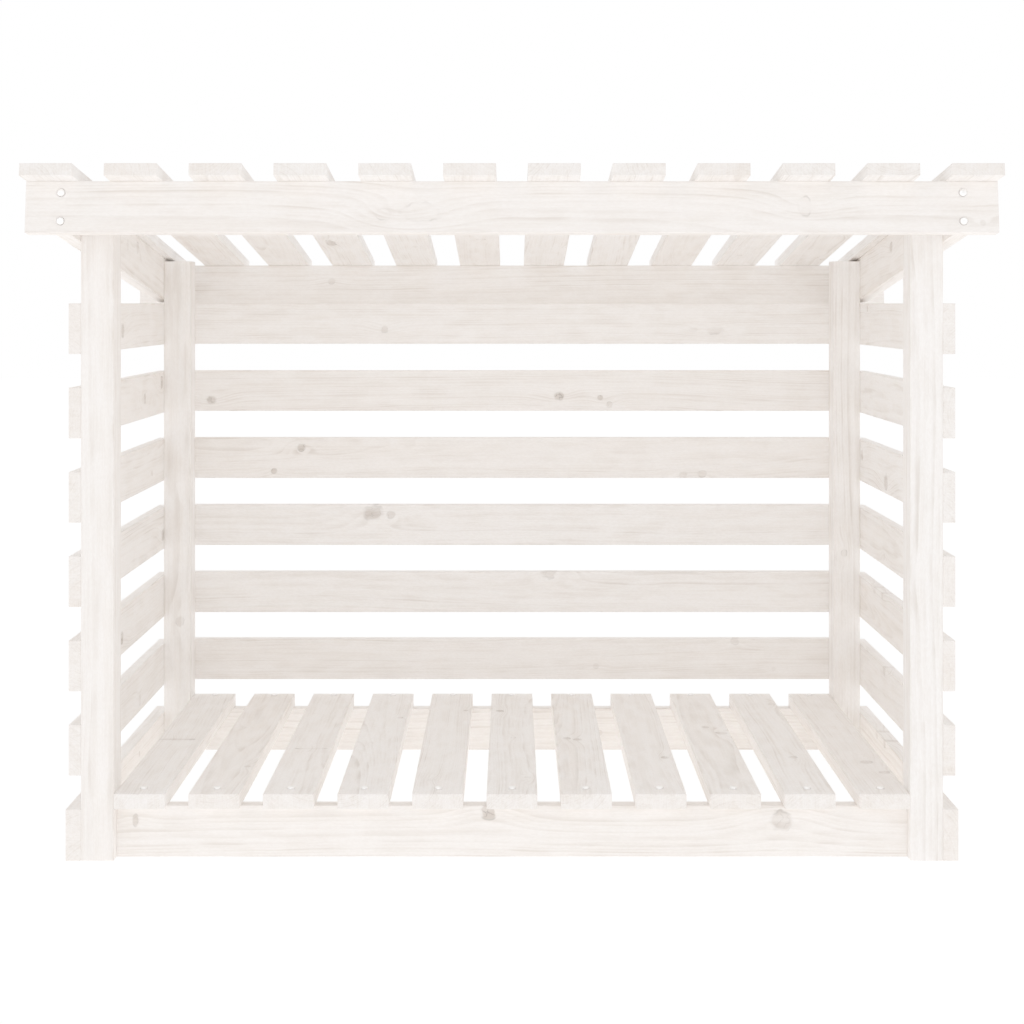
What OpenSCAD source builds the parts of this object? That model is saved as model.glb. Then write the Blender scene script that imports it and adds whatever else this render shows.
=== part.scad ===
// Firewood rack of solid pine boards: an open-fronted log bay on four posts, with a slatted floor,
// slatted back and sides, and a slatted lean-to roof that slopes down to the back.
// Origin: middle of the rack on the ground. +X is to the right seen from the front, +Y is to the
// back and +Z is up. Lengths are in millimetres.

/* [Frame] */
// Width over the outer faces of the posts
frame_w = 984; // [780:1:1400]
// Depth from the front posts' front faces to the rear posts' rear faces
frame_d = 554; // [350:1:800]
// Width of a post, side to side
post_w = 37.5; // [34:0.5:60]
// Depth of a post, front to back
post_d = 40; // [32:0.5:60]

/* [Lower rails] */
// Height of the lower rails
rail_h = 59; // [54:0.5:90]
// Thickness of the lower rails
rail_t = 17.5; // [14:0.5:24]
// Distance of the front rail's face behind the posts' front faces
rail_setback = 16.5; // [0:0.5:20]

/* [Floor] */
// Number of floor slats
floor_count = 11; // [5:1:11]
// Width of a floor slat
floor_slat_w = 58; // [40:0.5:70]
// Thickness of a floor slat
floor_slat_t = 17.5; // [12:0.5:24]

/* [Sides and back] */
// Number of slats, one above the other, on the back and on each side
wall_count = 6; // [3:1:6]
// Width of a side or back slat
wall_slat_w = 58; // [40:0.5:80]
// Thickness of a side or back slat
wall_slat_t = 14; // [10:0.5:18]
// Clearance between the top slats and the roof rail's lower edge at the back
wall_top_gap = 1.4; // [0.5:0.1:20]

/* [Roof] */
// Height of the roof's front edge above the ground
roof_h = 790; // [720:1:1000]
// Slope of the roof down to the back, in degrees
roof_slope = 7.1; // [3:0.1:12]
// Reach of the roof past the posts' outer faces at each side
roof_side_reach = 48; // [44:1:90]
// Reach of the roof past the posts at the front and at the back
roof_end_reach = 88; // [80:1:140]
// Height of the fascias and of the roof side rails
fascia_h = 58; // [48:0.5:80]
// Thickness of the fascias and of the roof side rails
fascia_t = 17.5; // [14:0.5:24]
// Reach of the roof slats past the fascias
eaves = 32; // [10:1:40]
// Number of roof slats
roof_count = 12; // [6:1:12]
// Width of a roof slat
roof_slat_w = 58; // [40:0.5:66]
// Thickness of a roof slat
roof_slat_t = 14; // [10:0.5:20]
// Clearance between a post's top and the roof slats
post_top_gap = 0.3; // [0.1:0.1:3]

/* [Edges] */
// Size of the eased long edges of every board
arris = 1.2; // [0.2:0.1:3]

/* [Screws] */
// Diameter of a screw's shank
shank_d = 4.2; // [3:0.1:5]
// Diameter of a screw's countersunk head
head_d = 8; // [6:0.1:10]
// Height of the head's cone
head_h = 2.6; // [1.5:0.1:4]
// Length of a screw's pointed tip
tip_l = 4; // [2:0.5:8]
// Length of the screws through the roof, side, back and floor slats
slat_screw_l = 35; // [28:1:36]
// Length of the screws through the side rails into the posts
rail_screw_l = 38; // [28:1:44]
// Length of the screws through the fascias into the ends of the roof side rails
fascia_screw_l = 60; // [35:1:68]
// Length of the screws through the posts into the ends of the lower rails
end_screw_l = 70; // [50:1:90]
// Clearance all round a screw's shank in its bore
bore_gap = 0.1; // [0.05:0.05:0.4]
// Clearance all round a screw's head in its countersink
sink_gap = 0.6; // [0.2:0.1:1]
// Depth of a head's face below the wood
head_drop = 0.3; // [0:0.1:1]
// Length of a bore past the screw's tip
bore_spare = 0.5; // [0.2:0.1:2]
// Width of a slot of the cross recess in a head
recess_w = 1; // [0.6:0.1:1.4]
// Length of a slot of the cross recess
recess_l = 4.4; // [3:0.1:5]
// Depth of the cross recess
recess_h = 1.4; // [0.8:0.1:2]

/* [Screw places] */
// Distance of the two screws of a pair above and below the middle of a fascia or roof rail
fascia_spread = 16; // [10:0.5:20]
// Distance of the highest screw in the lower rails below their top edge
rail_screw_drop = 15; // [12:0.5:18]
// Height from one screw in the lower rails to the next: side rail and rail end take turns
rail_screw_step = 10; // [8:0.5:10]
// Distance of the side rails' screws behind each post's front face
rail_screw_inset = 12; // [8:0.5:20]
// Distance of the side and back slats' screws below and above the slats' middle
wall_stagger = 12; // [6:0.5:15]

/* [Hidden] */
pine = [0.95, 0.93, 0.905];
pine_shade = [0.92, 0.895, 0.87];
zinc = [0.8, 0.8, 0.78];
$fn = 32;

half_w = frame_w / 2;
half_d = frame_d / 2;
inner_w = frame_w - 2 * post_w;
post_x = half_w - post_w / 2;
post_y = half_d - post_d / 2;

front_rail_y = -half_d + rail_setback + rail_t / 2;
rear_rail_y = half_d - rail_t / 2;
floor_z = rail_h + floor_slat_t;
rail_screw_top = rail_h - rail_screw_drop;

roof_w = frame_w + 2 * roof_side_reach;
roof_d = frame_d + 2 * roof_end_reach;
roof_z = roof_h - roof_slat_t * cos(roof_slope);
roof_l = (roof_d - roof_slat_t * sin(roof_slope)) / cos(roof_slope);
roof_rail_l = roof_l - 2 * (eaves + fascia_t);
roof_rail_x = half_w + fascia_t / 2;
front_post_h = under_roof(-half_d + post_d) - post_top_gap;
rear_post_h = under_roof(half_d) - post_top_gap;

wall_top = under_roof(half_d) - fascia_h / cos(roof_slope) - wall_top_gap;
wall_pitch = (wall_top - rail_h) / wall_count;

left = -1;
right = 1;
front = -1;
rear = 1;
sides = [left, right];
ends = [front, rear];
levels = [-1, 1];
steps = [0, 1];

// Height of the roof slats' underside at a distance y from the middle of the rack
function under_roof(y) = roof_z - (y + roof_d / 2) * tan(roof_slope);

// Middle of slat i of a row, from the left: the outer two end flush with the span
function slat_x(i, count, slat_w, span) = (span - slat_w) * ((i - 1) / (count - 1) - 1 / 2);

// The floor slats fill the span between the posts, and the roof slats the fascias' length
function floor_x(i) = slat_x(i, floor_count, floor_slat_w, inner_w);
function roof_x(i) = slat_x(i, roof_count, roof_slat_w, roof_w);

// Middle height of wall slat k, from the bottom: the gap below each slat is the same
function wall_z(k) = rail_h + k * wall_pitch - wall_slat_w / 2;

// Middle of a lower rail across its thickness
function rail_y(end) = end == front ? front_rail_y : rear_rail_y;

// Middle of a fascia along the slope, from the roof slats' front ends
function fascia_y(end) = roof_l / 2 + end * (roof_l / 2 - eaves - fascia_t / 2);

// Section of a board with its long edges eased
module board_section(a, b) {
    x = a / 2;
    y = b / 2;
    polygon([
        [-x + arris, -y], [x - arris, -y], [x, -y + arris], [x, y - arris],
        [x - arris, y], [-x + arris, y], [-x, y - arris], [-x, -y + arris]
    ]);
}

// Board that runs side to side, centred
module board_x(length, depth, height) {
    rotate([90, 0, 90])
        linear_extrude(length, center = true)
            board_section(depth, height);
}

// Board that runs front to back, centred
module board_y(length, width, height) {
    rotate([90, 0, 0])
        linear_extrude(length, center = true)
            board_section(width, height);
}

// Board that stands on the ground
module board_z(height, width, depth) {
    linear_extrude(height)
        board_section(width, depth);
}

// Frame of the roof: its origin is on the roof slats' lower front edge and its Y runs down the slope
module on_roof() {
    translate([0, -roof_d / 2, roof_z])
        rotate([-roof_slope, 0, 0])
            children();
}

// Countersunk screw that points down, with its head's face just under the level z = 0
module screw(length) {
    translate([0, 0, -head_drop])
        difference() {
            rotate_extrude()
                polygon([
                    [0, -length], [shank_d / 2, -length + tip_l], [shank_d / 2, -head_h],
                    [head_d / 2, 0], [0, 0]
                ]);
            translate([0, 0, -recess_h])
                linear_extrude(2 * recess_h)
                    union() {
                        square([recess_l, recess_w], center = true);
                        square([recess_w, recess_l], center = true);
                    }
        }
}

// Countersink and bore for a screw of that length, both a little larger than the screw
module screw_bore(length) {
    bore_r = shank_d / 2 + bore_gap;
    sink_r = head_d / 2 + sink_gap;
    sink_h = head_h + head_drop;
    bore_l = length + head_drop + bore_spare;
    slope = (sink_r - bore_r) / sink_h;
    rotate_extrude()
        polygon([
            [0, -bore_l], [bore_r, -bore_l], [bore_r, -sink_h],
            [sink_r + slope * arris, arris], [0, arris]
        ]);
}

// Places of the screws: each puts its children at the head, which faces along the children's +Z

module at_floor_screw(i, end) {
    translate([floor_x(i), rail_y(end), floor_z])
        children();
}

module at_back_screw(k, side) {
    translate([side * post_x, half_d + wall_slat_t, wall_z(k) + wall_stagger])
        rotate([-90, 0, 0])
            children();
}

module at_side_screw(k, side, end) {
    translate([side * (half_w + wall_slat_t), end * post_y, wall_z(k) - wall_stagger])
        rotate([0, side * 90, 0])
            children();
}

module at_roof_screw(i, end) {
    on_roof()
        translate([roof_x(i), fascia_y(end), roof_slat_t])
            children();
}

module at_fascia_screws(side, end) {
    outer_face = fascia_y(end) + end * fascia_t / 2;
    for (level = levels)
        on_roof()
            translate([side * roof_rail_x, outer_face, -fascia_h / 2 + level * fascia_spread])
                rotate([-end * 90, 0, 0])
                    children();
}

module at_roof_rail_screws(side, end) {
    y = end * post_y;
    middle = under_roof(y) - fascia_h / 2 / cos(roof_slope);
    for (level = levels)
        translate([side * (half_w + fascia_t), y, middle + level * fascia_spread / cos(roof_slope)])
            rotate([0, side * 90, 0])
                children();
}

module at_lower_rail_screws(side, end) {
    for (step = steps)
        translate([
            side * (half_w + rail_t),
            end * post_y - post_d / 2 + rail_screw_inset,
            rail_screw_top - 2 * step * rail_screw_step
        ])
            rotate([0, side * 90, 0])
                children();
}

module at_end_screws(side, end) {
    for (step = steps)
        translate([side * half_w, rail_y(end), rail_screw_top - (2 * step + 1) * rail_screw_step])
            rotate([0, side * 90, 0])
                children();
}

module post(side, end) {
    color(pine)
        difference() {
            translate([side * post_x, end * post_y, 0])
                board_z(end == front ? front_post_h : rear_post_h, post_w, post_d);
            at_lower_rail_screws(side, end) screw_bore(rail_screw_l);
            at_roof_rail_screws(side, end) screw_bore(rail_screw_l);
            at_end_screws(side, end) screw_bore(end_screw_l);
            for (k = [1 : wall_count])
                at_side_screw(k, side, end) screw_bore(slat_screw_l);
            if (end == rear)
                for (k = [1 : wall_count])
                    at_back_screw(k, side) screw_bore(slat_screw_l);
        }
}

module lower_rail(end) {
    color(pine)
        difference() {
            translate([0, rail_y(end), rail_h / 2])
                board_x(inner_w, rail_t, rail_h);
            for (i = [1 : floor_count])
                at_floor_screw(i, end) screw_bore(slat_screw_l);
            for (side = sides)
                at_end_screws(side, end) screw_bore(end_screw_l);
        }
}

module side_lower_rail(side) {
    color(pine)
        difference() {
            translate([side * (half_w + rail_t / 2), 0, rail_h / 2])
                board_y(frame_d, rail_t, rail_h);
            for (end = ends)
                at_lower_rail_screws(side, end) screw_bore(rail_screw_l);
        }
}

module floor_slat(i) {
    color(pine_shade)
        difference() {
            translate([floor_x(i), 0, rail_h + floor_slat_t / 2])
                board_y(frame_d, floor_slat_w, floor_slat_t);
            for (end = ends)
                at_floor_screw(i, end) screw_bore(slat_screw_l);
        }
}

module back_slat(k) {
    color(pine_shade)
        difference() {
            translate([0, half_d + wall_slat_t / 2, wall_z(k)])
                board_x(frame_w, wall_slat_t, wall_slat_w);
            for (side = sides)
                at_back_screw(k, side) screw_bore(slat_screw_l);
        }
}

module side_slat(side, k) {
    color(pine_shade)
        difference() {
            translate([side * (half_w + wall_slat_t / 2), 0, wall_z(k)])
                board_y(frame_d, wall_slat_t, wall_slat_w);
            for (end = ends)
                at_side_screw(k, side, end) screw_bore(slat_screw_l);
        }
}

module roof_fascia(end) {
    color(pine)
        difference() {
            on_roof()
                translate([0, fascia_y(end), -fascia_h / 2])
                    board_x(roof_w, fascia_t, fascia_h);
            for (side = sides)
                at_fascia_screws(side, end) screw_bore(fascia_screw_l);
            for (i = [1 : roof_count])
                at_roof_screw(i, end) screw_bore(slat_screw_l);
        }
}

module roof_side_rail(side) {
    color(pine)
        difference() {
            on_roof()
                translate([side * roof_rail_x, roof_l / 2, -fascia_h / 2])
                    board_y(roof_rail_l, fascia_t, fascia_h);
            for (end = ends)
                at_fascia_screws(side, end) screw_bore(fascia_screw_l);
            for (end = ends)
                at_roof_rail_screws(side, end) screw_bore(rail_screw_l);
        }
}

module roof_slat(i) {
    color(pine_shade)
        difference() {
            on_roof()
                translate([roof_x(i), roof_l / 2, roof_slat_t / 2])
                    board_y(roof_l, roof_slat_w, roof_slat_t);
            for (end = ends)
                at_roof_screw(i, end) screw_bore(slat_screw_l);
        }
}

module floor_slat_screws() {
    color(zinc)
        for (i = [1 : floor_count], end = ends)
            at_floor_screw(i, end) screw(slat_screw_l);
}

module back_slat_screws() {
    color(zinc)
        for (k = [1 : wall_count], side = sides)
            at_back_screw(k, side) screw(slat_screw_l);
}

module side_slat_screws() {
    color(zinc)
        for (k = [1 : wall_count], side = sides, end = ends)
            at_side_screw(k, side, end) screw(slat_screw_l);
}

module roof_slat_screws() {
    color(zinc)
        for (i = [1 : roof_count], end = ends)
            at_roof_screw(i, end) screw(slat_screw_l);
}

module fascia_screws() {
    color(zinc)
        for (side = sides, end = ends)
            at_fascia_screws(side, end) screw(fascia_screw_l);
}

module side_rail_screws() {
    color(zinc)
        for (side = sides, end = ends) {
            at_lower_rail_screws(side, end) screw(rail_screw_l);
            at_roof_rail_screws(side, end) screw(rail_screw_l);
        }
}

module rail_end_screws() {
    color(zinc)
        for (side = sides, end = ends)
            at_end_screws(side, end) screw(end_screw_l);
}

post(left, front);  // front_post_left
post(right, front);  // front_post_right
post(left, rear);  // rear_post_left
post(right, rear);  // rear_post_right
lower_rail(front);  // front_lower_rail
lower_rail(rear);  // rear_lower_rail
side_lower_rail(left);  // side_lower_rail_left
side_lower_rail(right);  // side_lower_rail_right
for (i = [1 : floor_count])
    floor_slat(i);
for (k = [1 : wall_count]) {
    back_slat(k);
    side_slat(left, k);
    side_slat(right, k);
}
roof_fascia(front);  // roof_front_fascia
roof_fascia(rear);  // roof_rear_fascia
roof_side_rail(left);  // roof_side_rail_left
roof_side_rail(right);  // roof_side_rail_right
for (i = [1 : roof_count])
    roof_slat(i);
floor_slat_screws();
back_slat_screws();
side_slat_screws();
roof_slat_screws();
fascia_screws();
side_rail_screws();
rail_end_screws();
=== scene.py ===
"""Firewood rack of white-stained pine boards, dressed for the studio.

Every board of the packed frame is shaped anew with rounded arrises and bored screw
holes, and gets a pine grain of its own under a thin white stain. The screws get turned
heads with a cross recess. Lengths are in metres, in the frame's own axes.
"""

import math
import random

import bmesh
import bpy
from bpy.props import FloatProperty, FloatVectorProperty, IntProperty, PointerProperty
from mathutils import Matrix, Vector, noise


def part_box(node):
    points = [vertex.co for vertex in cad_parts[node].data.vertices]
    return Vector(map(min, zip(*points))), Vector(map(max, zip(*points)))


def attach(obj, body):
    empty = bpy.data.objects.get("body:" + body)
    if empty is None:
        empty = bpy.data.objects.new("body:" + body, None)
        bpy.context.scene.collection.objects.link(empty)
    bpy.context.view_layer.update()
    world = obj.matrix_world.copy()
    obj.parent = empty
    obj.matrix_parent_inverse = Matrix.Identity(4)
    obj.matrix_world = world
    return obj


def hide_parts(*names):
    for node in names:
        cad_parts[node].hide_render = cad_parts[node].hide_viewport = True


bl_info = {
    "name": "Firewood rack",
    "version": (1, 0, 0),
    "blender": (4, 5, 0),
    "location": "View3D > Sidebar > Rack",
    "description": "Builds a white-stained pine firewood rack around its packed frame",
    "category": "Object",
}

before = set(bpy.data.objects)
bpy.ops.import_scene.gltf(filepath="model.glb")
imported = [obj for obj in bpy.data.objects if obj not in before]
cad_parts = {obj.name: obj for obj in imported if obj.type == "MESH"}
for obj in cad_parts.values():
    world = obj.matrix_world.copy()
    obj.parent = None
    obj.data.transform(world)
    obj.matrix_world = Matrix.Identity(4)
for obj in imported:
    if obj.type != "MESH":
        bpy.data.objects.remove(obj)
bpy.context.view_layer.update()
MM = 0.001

# Directions of a board's length, width and outer face, before any tilt
ALONG_THE_FRONT = ((1, 0, 0), (0, 0, 1), (0, -1, 0))
UPRIGHT = ((0, 0, 1), (-1, 0, 0), (0, -1, 0))
FRONT_TO_BACK_FLAT = ((0, 1, 0), (-1, 0, 0), (0, 0, 1))
FRONT_TO_BACK_ON_EDGE = ((0, 1, 0), (0, 0, 1), (1, 0, 0))

# Knots that show on a board's face: place along it and across it and radius, all in
# millimetres, then how dark the knot is, from 0 to 1, and its width across the grain
# for each unit along it. Boards that aren't named here get knots by chance.
SEEN_KNOTS = {
    "front_post_left": (),
    "front_post_right": (),
    "rear_post_left": ((-156, -4, 6, 0.4, 0.8),),
    "rear_post_right": ((-60, 4, 4, 0.3, 0.8),),
    "front_lower_rail": (
        (-431, 12, 7, 0.6, 1.9),
        (-25, 22, 9, 0.75, 1.0),
        (312, 12, 11, 0.6, 0.9),
    ),
    "side_lower_rail_right": ((115, 26, 6, 0.45, 0.8), (60, 26, 6, 0.5, 0.8)),
    "floor_slat_1": ((-5, 5, 20, 0.5, 4.5),),
    "floor_slat_3": ((-55, -2, 19, 0.3, 5.5),),
    "floor_slat_7": ((1, 15, 5, 0.6, 0.8), (-6, 1, 5, 0.6, 0.8)),
    "floor_slat_8": ((-102, -18, 5, 0.65, 0.8),),
    "floor_slat_9": ((64, 0, 5, 0.6, 0.8), (29, -18, 7, 0.6, 0.8)),
    "floor_slat_11": ((-126, -7, 7, 0.6, 0.8), (-175, -19, 6, 0.6, 0.8)),
    "back_slat_6": (
        (-181, -8, 5, 0.6, 1.0),
        (262, -9, 3, 0.3, 0.5),
        (291, -10, 5, 0.4, 0.4),
    ),
    "back_slat_5": (
        (-430, -13, 6, 0.7, 0.8),
        (69, -8, 6, 0.8, 0.8),
        (128, -10, 4, 0.85, 0.8),
        (141, -20, 4, 0.55, 0.8),
    ),
    "back_slat_4": (
        (-301, 15, 5, 0.7, 0.8),
        (-340, -19, 3.5, 0.85, 0.8),
        (247, -25, 5, 0.5, 0.8),
        (274, -23, 5, 0.4, 0.8),
    ),
    "back_slat_3": ((-198, 17, 11, 0.6, 0.8), (-172, 14, 5, 0.6, 0.8)),
    "back_slat_2": ((55, 28, 8, 0.55, 0.8),),
    "back_slat_1": (
        (321, 26, 5, 0.4, 0.8),
        (122, -10, 3.5, 0.35, 0.8),
        (377, -14, 3, 0.4, 0.8),
    ),
    "side_slat_left_6": ((-43, -5, 8, 0.6, 0.8),),
    "side_slat_left_5": ((223, 15, 8, 0.75, 0.8), (100, -2, 7, 0.65, 0.8)),
    "side_slat_left_3": ((231, -9, 8, 0.65, 0.8),),
    "side_slat_left_2": ((-49, -8, 8, 0.75, 0.8),),
    "side_slat_left_1": ((66, -14, 7, 0.45, 0.8),),
    "side_slat_right_4": ((221, 8, 7, 0.6, 0.8), (51, -14, 10, 0.6, 0.8)),
    "side_slat_right_2": ((76, 27, 6, 0.45, 0.8), (129, 27, 6, 0.35, 0.8)),
    "side_slat_right_1": ((64, 25, 7, 0.45, 0.8),),
    "roof_front_fascia": (
        (-141, -8, 7, 0, 0.8),
        (-100, -6, 10.5, 0, 0.5),
        (327, 1, 11, 0.1, 1.4),
        (524, -18, 3, 0.5, 0.8),
    ),
    "roof_rear_fascia": ((-260, 6, 4, 0.4, 0.8),),
    "roof_side_rail_left": ((56, 14, 7, 0.5, 0.8), (-9, 8, 6, 0.45, 0.8)),
    "roof_side_rail_right": ((20, 10, 7, 0.6, 0.8),),
    "roof_slat_4": ((106, 11, 6, 0.6, 0.25),),
}
KNOT_NUMBERS = (1, 2, 3, 4)
KNOT_MASKS = ("Bulge", "Core", "Rim", "Crack")

# What boards get by chance: a knot's radius in millimetres and its look, the pith's
# place in half widths across, its depth and its drift along the board, and the ring
# width as a share of the mean
KNOT_RADIUS, KNOT_DARKNESS, KNOT_FLATNESS = (2.5, 5.5), (0.1, 0.65), 0.8
PITH_ACROSS, PITH_DEPTH, PITH_DRIFT = (0.0, 2.4), (0.02, 0.07), (-0.035, 0.035)
RING_SPREAD = (0.7, 1.3)
PATTERN_SEED = (0.0, 90.0)

# A knot that lies off the board, and its look, for boards with fewer than four
NO_KNOT = (9.0, 0.0, 0.005)
NO_LOOK = (0.0, KNOT_FLATNESS, 0.0)

# Features a metre of each pattern in the wood: along a board, across it and through it
RING_WANDER = (2.6, 5.0, 5.0)
RING_RIPPLE = (17.0, 60.0, 60.0)
RING_WEAR = (14.0, 150.0, 150.0)
KNOT_OUTLINE = (95.0, 110.0, 40.0)
KNOT_BREAKS = (70.0, 70.0, 30.0)
FINE_FIBRES = (34.0, 900.0, 900.0)
BROAD_FIBRES = (7.0, 300.0, 300.0)
FLECKS = (190.0, 520.0, 520.0)
BRUSH_STROKES = (3.0, 80.0, 80.0)
STAIN_CLOUDS = (22.0, 60.0, 60.0)
RUBBING = (26.0, 60.0, 60.0)
SAW_TEETH = (0.0, 620.0, 45.0)

# Features a metre of the patterns in the zinc
ZINC_PATCHES = (420.0, 420.0, 420.0)
ZINC_SCRATCHES = (2600.0, 2600.0, 900.0)

# Rounded top of a screw's head: shares of its radius and of its rise
HEAD_TOP = (
    (1, 0.3),
    (0.985, 0.5),
    (0.93, 0.7),
    (0.8, 0.86),
    (0.6, 0.95),
    (0.35, 0.99),
    (0, 1),
)

# These lie under the side lower rails, so their heads don't rise
FLUSH_SCREWS = "rail_end_screws"

FRAME_SLOT = "stained_pine_frame"
SLAT_SLOT = "stained_pine_slat"
SCREW_SLOT = "zinc_plated_screw"
SCREW_NODES = sorted(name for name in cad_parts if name.endswith("_screws"))

# Mean share of the wood that the white stain hides
STAIN_COVER = {FRAME_SLOT: 0.62, SLAT_SLOT: 0.64}

# Place of the lamp, the point that it shines at, and the floor's white as it is seen
KEY_PLACE = Vector((-0.7, -3.6, 1.5))
KEY_AIM = Vector((0, 0, 0.4))
FLOOR_WHITE = 1.04


def boards_named(*beginnings):
    """The frame's board nodes whose names begin so, in order."""
    return sorted(
        name
        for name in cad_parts
        if name.startswith(beginnings) and name not in SCREW_NODES
    )


def length_of(name, description, millimetres):
    """A property that holds a length."""
    return FloatProperty(
        name=name,
        description=description,
        default=millimetres * MM,
        unit="LENGTH",
        precision=5,
    )


def colour_of(name, description, linear):
    """A property that holds a colour, as the light it gives back."""
    return FloatVectorProperty(
        name=name,
        description=description,
        default=linear,
        subtype="COLOR",
        min=0,
        max=1,
    )


class RackBoards(bpy.types.PropertyGroup):
    """Shape of the boards."""

    arris: length_of("Arris", "Radius of a board's rounded long edges", 0.8)
    arris_change: FloatProperty(
        name="Arris change",
        description="Share by which the arris radius changes along a board",
        default=0.3,
        subtype="FACTOR",
    )
    end_ease: length_of("End ease", "Size of the eased edges round a sawn end", 0.5)
    station: length_of("Station", "Distance between the sections of a board", 32)
    arris_steps: IntProperty(
        name="Arris steps", description="Faces across an arris", default=4
    )
    knot_distance: length_of("Knot distance", "Mean distance between chance knots", 290)


class RackScrews(bpy.types.PropertyGroup):
    """Shape of the screws and of their holes."""

    shank: length_of("Shank", "Diameter of a shank", 4.2)
    head: length_of("Head", "Diameter of a head", 8.4)
    head_height: length_of("Head height", "Height of the head's cone", 2.6)
    head_edge: length_of("Head edge", "Height of the head's rounded edge", 0.25)
    head_rise: length_of("Head rise", "Height of a raised head over a flush one", 2.6)
    head_drop: length_of("Head drop", "Depth of the edge under a flush head", 0.15)
    tip: length_of("Tip", "Length of the pointed tip", 4)
    recess: length_of("Recess", "Length of a slot of the cross recess", 2.4)
    recess_width: length_of("Recess width", "Width of a slot of the cross recess", 0.5)
    recess_depth: length_of("Recess depth", "Depth of the cross recess", 0.4)
    bore_gap: length_of("Bore gap", "Clearance round the shank", 0.1)
    sink_gap: length_of("Countersink gap", "Clearance round the head", 0.7)
    sides: IntProperty(name="Sides", description="Sides of a turned form", default=32)


class RackPine(bpy.types.PropertyGroup):
    """Colours of the white-stained pine."""

    earlywood: colour_of("Earlywood", "Pale wood of a ring", (0.955, 0.934, 0.911))
    latewood: colour_of("Latewood", "Dense line of a ring", (0.68, 0.625, 0.57))
    heartwood: colour_of("Heartwood", "Warmer wood near the pith", (0.90, 0.835, 0.775))
    knot: colour_of("Knot", "Wood of a knot", (0.58, 0.52, 0.47))
    knot_rim: colour_of("Knot rim", "Bark line round a knot", (0.34, 0.30, 0.26))
    # Painted shade for the inside of a drying crack: the crack is only a bump in the
    # shader, not a cut in the board
    crack: colour_of("Crack", "Depth of a drying crack", (0.12, 0.10, 0.085))
    stain: colour_of("Stain", "White stain over the wood", (0.99, 0.984, 0.98))
    frame_rings: length_of("Frame rings", "Mean growth ring width in the frame", 4.4)
    slat_rings: length_of("Slat rings", "Mean growth ring width in the slats", 3)


class RackZinc(bpy.types.PropertyGroup):
    """Colours of the zinc plating."""

    zinc: colour_of("Zinc", "Bright zinc", (0.99, 0.99, 0.99))
    dull: colour_of("Dull zinc", "Zinc where it has gone dull", (0.96, 0.96, 0.955))


class RackStudio(bpy.types.PropertyGroup):
    """Floor, light and camera."""

    floor: colour_of("Floor", "Colour of the floor", (0.95, 0.95, 0.95))
    floor_glow: FloatProperty(
        name="Floor glow", description="Light that the floor gives off", default=0.28
    )
    floor_shadow: FloatProperty(
        name="Floor shadow",
        description="Share of the floor's own colour in its look, the rest being white",
        default=0.13,
        subtype="FACTOR",
    )
    floor_radius: FloatProperty(
        name="Floor radius",
        description="Radius of the floor",
        default=14,
        unit="LENGTH",
    )
    surround: FloatProperty(
        name="Surround",
        description="Light from all round, where 1 is white",
        default=0.855,
    )
    tint: colour_of("Tint", "Colour of the surround and of the lamp", (1, 0.982, 0.972))
    key_power: FloatProperty(
        name="Key power",
        description="Power of the lamp at the front",
        default=2.5,
        unit="POWER",
    )
    key_size: FloatProperty(
        name="Key size",
        description="Side of the square lamp",
        default=2.6,
        unit="LENGTH",
    )
    eye_height: FloatProperty(
        name="Eye height",
        description="Height of the camera",
        default=0.636,
        unit="LENGTH",
    )
    eye_distance: FloatProperty(
        name="Eye distance",
        description="Distance of the camera in front of the posts",
        default=2.1536,
        unit="LENGTH",
    )
    bounces: IntProperty(
        name="Bounces",
        description="Times that light may pass between the pale boards",
        default=8,
    )
    lens: FloatProperty(
        name="Lens",
        description="Focal length in millimetres",
        default=66.35,
        unit="CAMERA",
    )
    shift: FloatProperty(
        name="Shift",
        description="Upward shift of the view, in picture widths",
        default=-0.2035,
    )


# Shapes


def slope_of_roof():
    """Slope of the roof down to the back, from the underside of its first slat."""
    places = [v.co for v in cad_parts["roof_slat_1"].data.vertices]
    foremost = min(places, key=lambda place: place.y)
    lowest = min(places, key=lambda place: place.z)
    return math.atan2(foremost.z - lowest.z, lowest.y - foremost.y)


def lie_of(node, way, slope):
    """(turn, middle, half size) of a board. turn takes its own axes to the rack's."""
    turn = Matrix.Rotation(-slope, 3, "X") @ Matrix(way).transposed()
    back = turn.transposed()
    places = [back @ v.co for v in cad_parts[node].data.vertices]
    low = Vector(min(place[axis] for place in places) for axis in range(3))
    high = Vector(max(place[axis] for place in places) for axis in range(3))
    return turn, (low + high) / 2, (high - low) / 2


def screws_in(node):
    """(middle of the head, direction of the tip, length) of each screw of a node."""
    same_place, rim_depth = 1e-6, 1e-5
    solids = bmesh.new()
    solids.from_mesh(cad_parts[node].data)
    bmesh.ops.remove_doubles(solids, verts=solids.verts, dist=same_place)
    left, found = set(solids.verts), []
    while left:
        todo, places = [left.pop()], []
        while todo:
            vertex = todo.pop()
            places.append(vertex.co.copy())
            near = {edge.other_vert(vertex) for edge in vertex.link_edges} & left
            left -= near
            todo += near
        # A set has no fixed order, and sums round alike only in one order
        places.sort(key=tuple)
        middle = sum(places, Vector()) / len(places)
        tip = max(places, key=lambda place: (place - middle).length)
        reach = max((place - tip).length for place in places)
        rim = [place for place in places if (place - tip).length > reach - rim_depth]
        head = sum(rim, Vector()) / len(rim)
        found.append((head, (tip - head).normalized(), (tip - head).length))
    solids.free()
    return sorted(found, key=lambda screw: tuple(round(x, 5) for x in screw[0]))


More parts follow.
